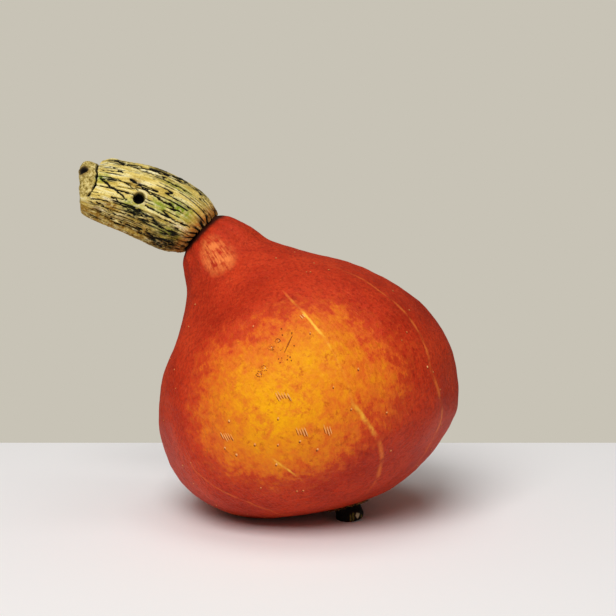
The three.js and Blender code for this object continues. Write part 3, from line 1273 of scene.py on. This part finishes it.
def add_surroundings():
    """The camera sees the backdrop's full colour, and the squash gets a weaker light from it."""
    world = bpy.data.worlds.new("surroundings")
    bpy.context.scene.world = world
    world.use_nodes = True
    tree = world.node_tree
    seen = add_node(tree, "LightPath", output="Is Camera Ray")
    strength = add_node(tree, "MapRange", {"Value": seen, "To Min": AMBIENT_STRENGTH})
    set_inputs(tree.nodes["Background"], {"Color": BACKDROP_COLOUR, "Strength": strength})


add_surroundings()
add_soft_light("key_light", (-0.56, -1.98, 2.27), (0.02, 0, 0.07), 1.7, 73)
add_soft_light("overhead_light", (0.02, -0.2, 2.27), (0.02, 0, 0), 1.4, 13)
bpy.context.scene.view_settings.view_transform = "Standard"

# %% [markdown]
# ## Marks on the rind
#
# While it grew, the rind was scratched and pricked. It healed with thin lines and dots of pale
# cork, and some of them kept a dark scab. The dots are also painted glints, and the dark marks
# beside the lines and under the dots are painted shade. They stand out of the rind by a tenth or
# two of a millimetre, which is far less than the rind's mesh could carry, so they are made as many
# low mounds that sit on it. All the pale ones are one mesh, and all the dark ones another.

# %% A place on the rind, and a low mound on it


def on_rind(turn, share):
    """A place on the rind, and the directions out of it, along it and round it."""
    row, column = share * FRUIT_ROWS, turn % 360 / 360 * FRUIT_COLUMNS
    r, c = int(row), int(column)
    r_next, c_next = r + 1, (c + 1) % FRUIT_COLUMNS
    part_r, part_c = row - r, column - c
    here = fruit_points[r, c] * (1 - part_c) + fruit_points[r, c_next] * part_c
    there = fruit_points[r_next, c] * (1 - part_c) + fruit_points[r_next, c_next] * part_c
    out = fruit_normals[r, c]
    along = (there - here) / np.linalg.norm(there - here)
    along -= out * (along @ out)
    return here * (1 - part_r) + there * part_r, out, along, np.cross(along, out)


MOUND_SIDES, MOUND_RINGS = 12, 3
MOUND_SINK = 0.08  # how far a mound's edge is under the rind


class Mounds:
    """Many low mounds that become one mesh."""

    def __init__(self):
        self.points, self.faces = [], []

    def add(self, turn, share, length, width, height, heading=0.0, shift=(0.0, 0.0)):
        """A mound at a place on the rind. heading turns its long side away from the growth
        direction, in degrees, and shift moves it along and round, in millimetres."""
        place, out, along, round_it = on_rind(turn, share)
        place = place + shift[0] * along + shift[1] * round_it
        cosine, sine = math.cos(heading * DEGREE), math.sin(heading * DEGREE)
        long_side = cosine * along + sine * round_it
        short_side = cosine * round_it - sine * along
        first = len(self.points)
        self.points.append(place + height * out)
        for ring in range(1, MOUND_RINGS + 1):
            reach = ring / MOUND_RINGS
            rise = height * (1 - reach**2) - MOUND_SINK * reach
            for side in range(MOUND_SIDES):
                angle = side / MOUND_SIDES * 2 * math.pi
                self.points.append(
                    place
                    + length / 2 * reach * math.cos(angle) * long_side
                    + width / 2 * reach * math.sin(angle) * short_side
                    + rise * out
                )
        self.points.append(place - 2 * MOUND_SINK * out)
        last = len(self.points) - 1
        for side in range(MOUND_SIDES):
            beside = (side + 1) % MOUND_SIDES
            self.faces.append((first, first + 1 + beside, first + 1 + side))
            for ring in range(MOUND_RINGS - 1):
                a = first + 1 + ring * MOUND_SIDES
                b = a + MOUND_SIDES
                self.faces.append((a + side, a + beside, b + beside, b + side))
            edge = first + 1 + (MOUND_RINGS - 1) * MOUND_SIDES
            self.faces.append((edge + side, edge + beside, last))

    def make(self, name, material):
        mesh = bpy.data.meshes.new(name)
        mesh.from_pydata([tuple(point * MM) for point in self.points], [], self.faces)
        mesh.shade_smooth()
        mesh.materials.append(material)
        piece = in_scene(name, mesh)
        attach(piece, "root")
        print(f"{name}: {len(self.faces)} faces")


# %% Scratches, pricks and ring-shaped scabs
pale_marks, dark_marks = Mounds(), Mounds()
mark_random = np.random.default_rng(12)

# groups of scratches: degrees from the front, share along the rind, and how many
SCRATCHES = ((-2, 0.535, 5), (-28.5, 0.56, 5), (-2, 0.61, 4), (7, 0.63, 3), (24, 0.41, 2))
for turn, share, count in SCRATCHES:
    for i in range(count):
        aside = 1.15 * (i - (count - 1) / 2)
        length = mark_random.uniform(3.8, 5.8)
        slip = mark_random.uniform(-0.6, 0.6) - 0.55 * aside
        pale_marks.add(turn, share, length, 0.6, 0.16, 2, (slip, aside))
        # the dark sliver beside each scratch is painted shade in its groove
        dark_marks.add(turn, share, 0.8 * length, 0.42, 0.12, 2, (slip + 0.3, aside + 0.55))

# pricks that healed: degrees from the front, and share along the rind
PRICKS = (
    (4.5, 0.37), (-7.5, 0.57), (17.5, 0.61), (30.5, 0.64), (15, 0.56), (26.5, 0.55), (55, 0.595),
    (-4, 0.63), (-13.5, 0.755), (-10.5, 0.76), (34.5, 0.725), (-32, 0.58), (-29, 0.605),
    (-28, 0.705), (21, 0.45), (-24.5, 0.53), (-20, 0.60), (-12, 0.62), (1, 0.66), (-16, 0.66),
)
for turn, share in PRICKS:
    size = mark_random.uniform(0.6, 1.1)
    # the dark mound, shifted to one side under the dot, is the dot's painted shadow
    dark_marks.add(turn, share, 1.6 * size, 1.3 * size, 0.12, 20, (0.35, 0.4))
    # the pale dot is healed cork with a painted glint on it
    pale_marks.add(turn, share, 1.4 * size, 1.1 * size, 0.24, 20, (-0.1, -0.1))

# scabs like small broken rings, by degrees from the front and share along the rind
RING_SCABS = ((-4.5, 0.472), (-1.5, 0.466), (5.5, 0.435), (9.5, 0.43))
for turn, share in RING_SCABS:
    for angle in range(0, 360, 40):
        reach = mark_random.uniform(0.7, 1.6)
        around_it = (reach * math.cos(angle * DEGREE), reach * math.sin(angle * DEGREE))
        width = mark_random.uniform(0.35, 0.75)
        heading = angle + mark_random.uniform(50, 130)
        dark_marks.add(turn, share, 1.1, width, 0.14, heading, around_it)
    # the pale dot in the ring's middle is a painted glint
    pale_marks.add(turn, share, 1.1, 0.8, 0.2, 20, (0.2, -0.2))

# one long slanting scab, and small dark flecks round it
for step in np.linspace(-1, 1, 7):
    dark_marks.add(
        11.5, 0.447, 2.3, 1.1 - 0.6 * abs(step), 0.18, 62, (1.65 * step, 3.2 * step)
    )
for _ in range(16):
    aside = mark_random.normal(0, 4, 2)
    dark_marks.add(8, 0.455, 0.8, 0.6, 0.10, mark_random.uniform(0, 180), tuple(aside))

# a few on the rest of the fruit
RESTING_MARGIN = 3
for _ in range(90):
    turn, share = mark_random.uniform(45, 325), mark_random.uniform(0.2, 0.9)
    if on_rind(turn, share)[0][2] < RESTING_MARGIN:
        continue  # nothing stands out where the rind touches the ground
    size = mark_random.uniform(0.6, 1.2)
    heading = mark_random.uniform(-30, 30)
    # the dark mound shifted under it is its painted shadow
    dark_marks.add(turn, share, 1.6 * size, 1.2 * size, 0.10, heading, (0.2, 0.25))
    # the pale one is healed cork with a painted glint on it
    pale_marks.add(turn, share, 1.0 * size, 0.7 * size, 0.20, heading)

# %% Healed cork with painted glints, and dark scab with painted shade
HEALED_AND_GLINT_COLOURS = ((0.35, "#E4924A"), (0.65, "#F2B474"))
SCAB_AND_SHADE_COLOURS = ((0.35, "#74260A"), (0.65, "#9C4A0E"))
pale_marks.make("healed_marks_and_glints", dry_material("healed_cork_and_painted_glint", 6, 0.7, HEALED_AND_GLINT_COLOURS))
dark_marks.make("dark_scabs_and_painted_shade", dry_material("rind_scab_and_painted_shade", 6, 0.8, SCAB_AND_SHADE_COLOURS))
